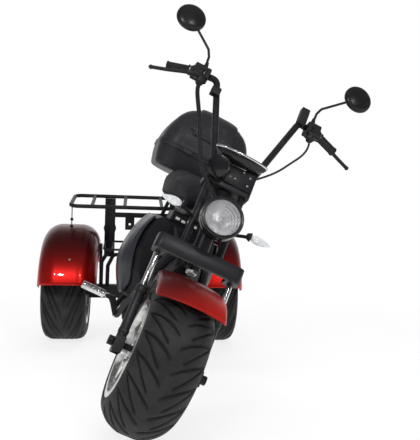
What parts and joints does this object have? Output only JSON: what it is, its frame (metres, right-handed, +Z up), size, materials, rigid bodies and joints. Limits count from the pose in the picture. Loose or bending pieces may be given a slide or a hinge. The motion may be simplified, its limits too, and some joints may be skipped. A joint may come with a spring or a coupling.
{
  "type": "motorized trike",
  "caption": "Tilting electric three-wheeler: a leaning front body with fork, seat and top case over an upright two-wheel rear unit with a load rack.",
  "frame": {"origin": "on the floor, under the middle of the bounding box", "axes": "+Z up, front wheel towards -Y, +X towards the rider's left"},
  "size_m": [1.4082, 1.8703, 1.5014],
  "materials": {
    "black_satin": "satin",
    "red_plastic": "gloss",
    "black_gloss": "gloss",
    "black_plastic": "matte",
    "chrome": "polished",
    "alloy": "satin",
    "steel": "satin",
    "tyre": "matte",
    "rubber": "matte",
    "leather": "satin",
    "lens_clear": "polished",
    "mirror": "polished",
    "lens_amber": "gloss",
    "lens_red": "gloss"
  },
  "bodies": {
    "rear_unit": {"axle_beam": "black_satin", "drive_casing": "alloy", "pivot_tower": "black_satin", "frame_arches": "black_satin", "rack": "black_satin", "rack_uprights": "black_satin", "lower_shelf": "black_satin", "fender_left": "red_plastic", "fender_right": "red_plastic", "fender_stays": "black_satin", "tail_lamps": "lens_red"},
    "rear_wheel_left": {"rear_tyre_left": "tyre", "rear_rim_left": "alloy"},
    "rear_wheel_right": {"rear_tyre_right": "tyre", "rear_rim_right": "alloy"},
    "body": {"main_frame": "black_satin", "battery_hull": "black_gloss", "side_covers": "black_plastic", "nose_panel": "black_gloss", "controller_box": "black_plastic", "peg_brackets": "black_satin", "case_base": "black_plastic"},
    "peg_left": {"peg_left": "chrome"},
    "peg_right": {"peg_right": "chrome"},
    "seat": {"seat": "leather"},
    "case_lid": {"case_lid": "black_plastic"},
    "steering": {"fork_bridge": "black_satin", "top_clamp": "black_satin", "upper_tubes": "black_satin", "stanchions": "chrome", "sliders": "black_satin", "front_axle": "steel", "headlamp_shell": "black_gloss", "headlamp_lens": "lens_clear", "indicator_stalks": "black_plastic", "indicator_lenses": "lens_amber", "dash": "black_plastic", "dash_bezel": "chrome", "dash_bracket": "black_satin", "horn": "chrome", "handlebar": "black_satin", "grips": "rubber", "switch_pods": "black_plastic", "levers": "alloy", "mirror_stalks": "black_plastic", "mirror_glasses": "mirror", "front_fender": "red_plastic", "fender_brackets": "black_satin", "cable_loom": "rubber", "brake_hose": "rubber"},
    "front_wheel": {"front_tyre": "tyre", "front_rim": "alloy", "front_disc": "steel"}
  },
  "joints": [
    {"name": "lean", "type": "hinge", "parent": "rear_unit", "child": "body", "pos_m": [-0.21814, 0.47274, 0.32767], "axis": [0, -0.9876, -0.1571], "range_deg": [0, 50]},
    {"name": "steering", "type": "hinge", "parent": "body", "child": "steering", "pos_m": [-0.18114, -0.67846, 0.22487], "axis": [0.3621, 0.3872, 0.8479], "range_deg": [-33, 37]},
    {"name": "front_wheel_spin", "type": "hinge", "parent": "steering", "child": "front_wheel", "pos_m": [-0.17763, -0.69586, 0.23131], "axis": [0.9134, 0.0343, -0.4057], "continuous": true},
    {"name": "rear_left_spin", "type": "hinge", "parent": "rear_unit", "child": "rear_wheel_left", "pos_m": [0.15186, 0.62274, 0.2385], "axis": [1, 0, 0], "continuous": true},
    {"name": "rear_right_spin", "type": "hinge", "parent": "rear_unit", "child": "rear_wheel_right", "pos_m": [-0.58814, 0.62274, 0.2385], "axis": [1, 0, 0], "continuous": true},
    {"name": "seat_hinge", "type": "hinge", "parent": "body", "child": "seat", "pos_m": [-0.00078, -0.17548, 0.69655], "axis": [0.9063, 0.0664, -0.4174], "range_deg": [0, 60]},
    {"name": "case_lid_hinge", "type": "hinge", "parent": "body", "child": "case_lid", "pos_m": [0.06255, 0.37152, 0.92108], "axis": [0.9063, 0.0664, -0.4174], "range_deg": [0, 75]},
    {"name": "peg_left_fold", "type": "hinge", "parent": "body", "child": "peg_left", "pos_m": [-0.06838, -0.01627, 0.19172], "axis": [0.0664, -0.9977, -0.0145], "range_deg": [0, 60]},
    {"name": "peg_right_fold", "type": "hinge", "parent": "body", "child": "peg_right", "pos_m": [-0.3584, -0.03751, 0.32528], "axis": [-0.0664, 0.9977, 0.0145], "range_deg": [0, 60]}
  ]
}
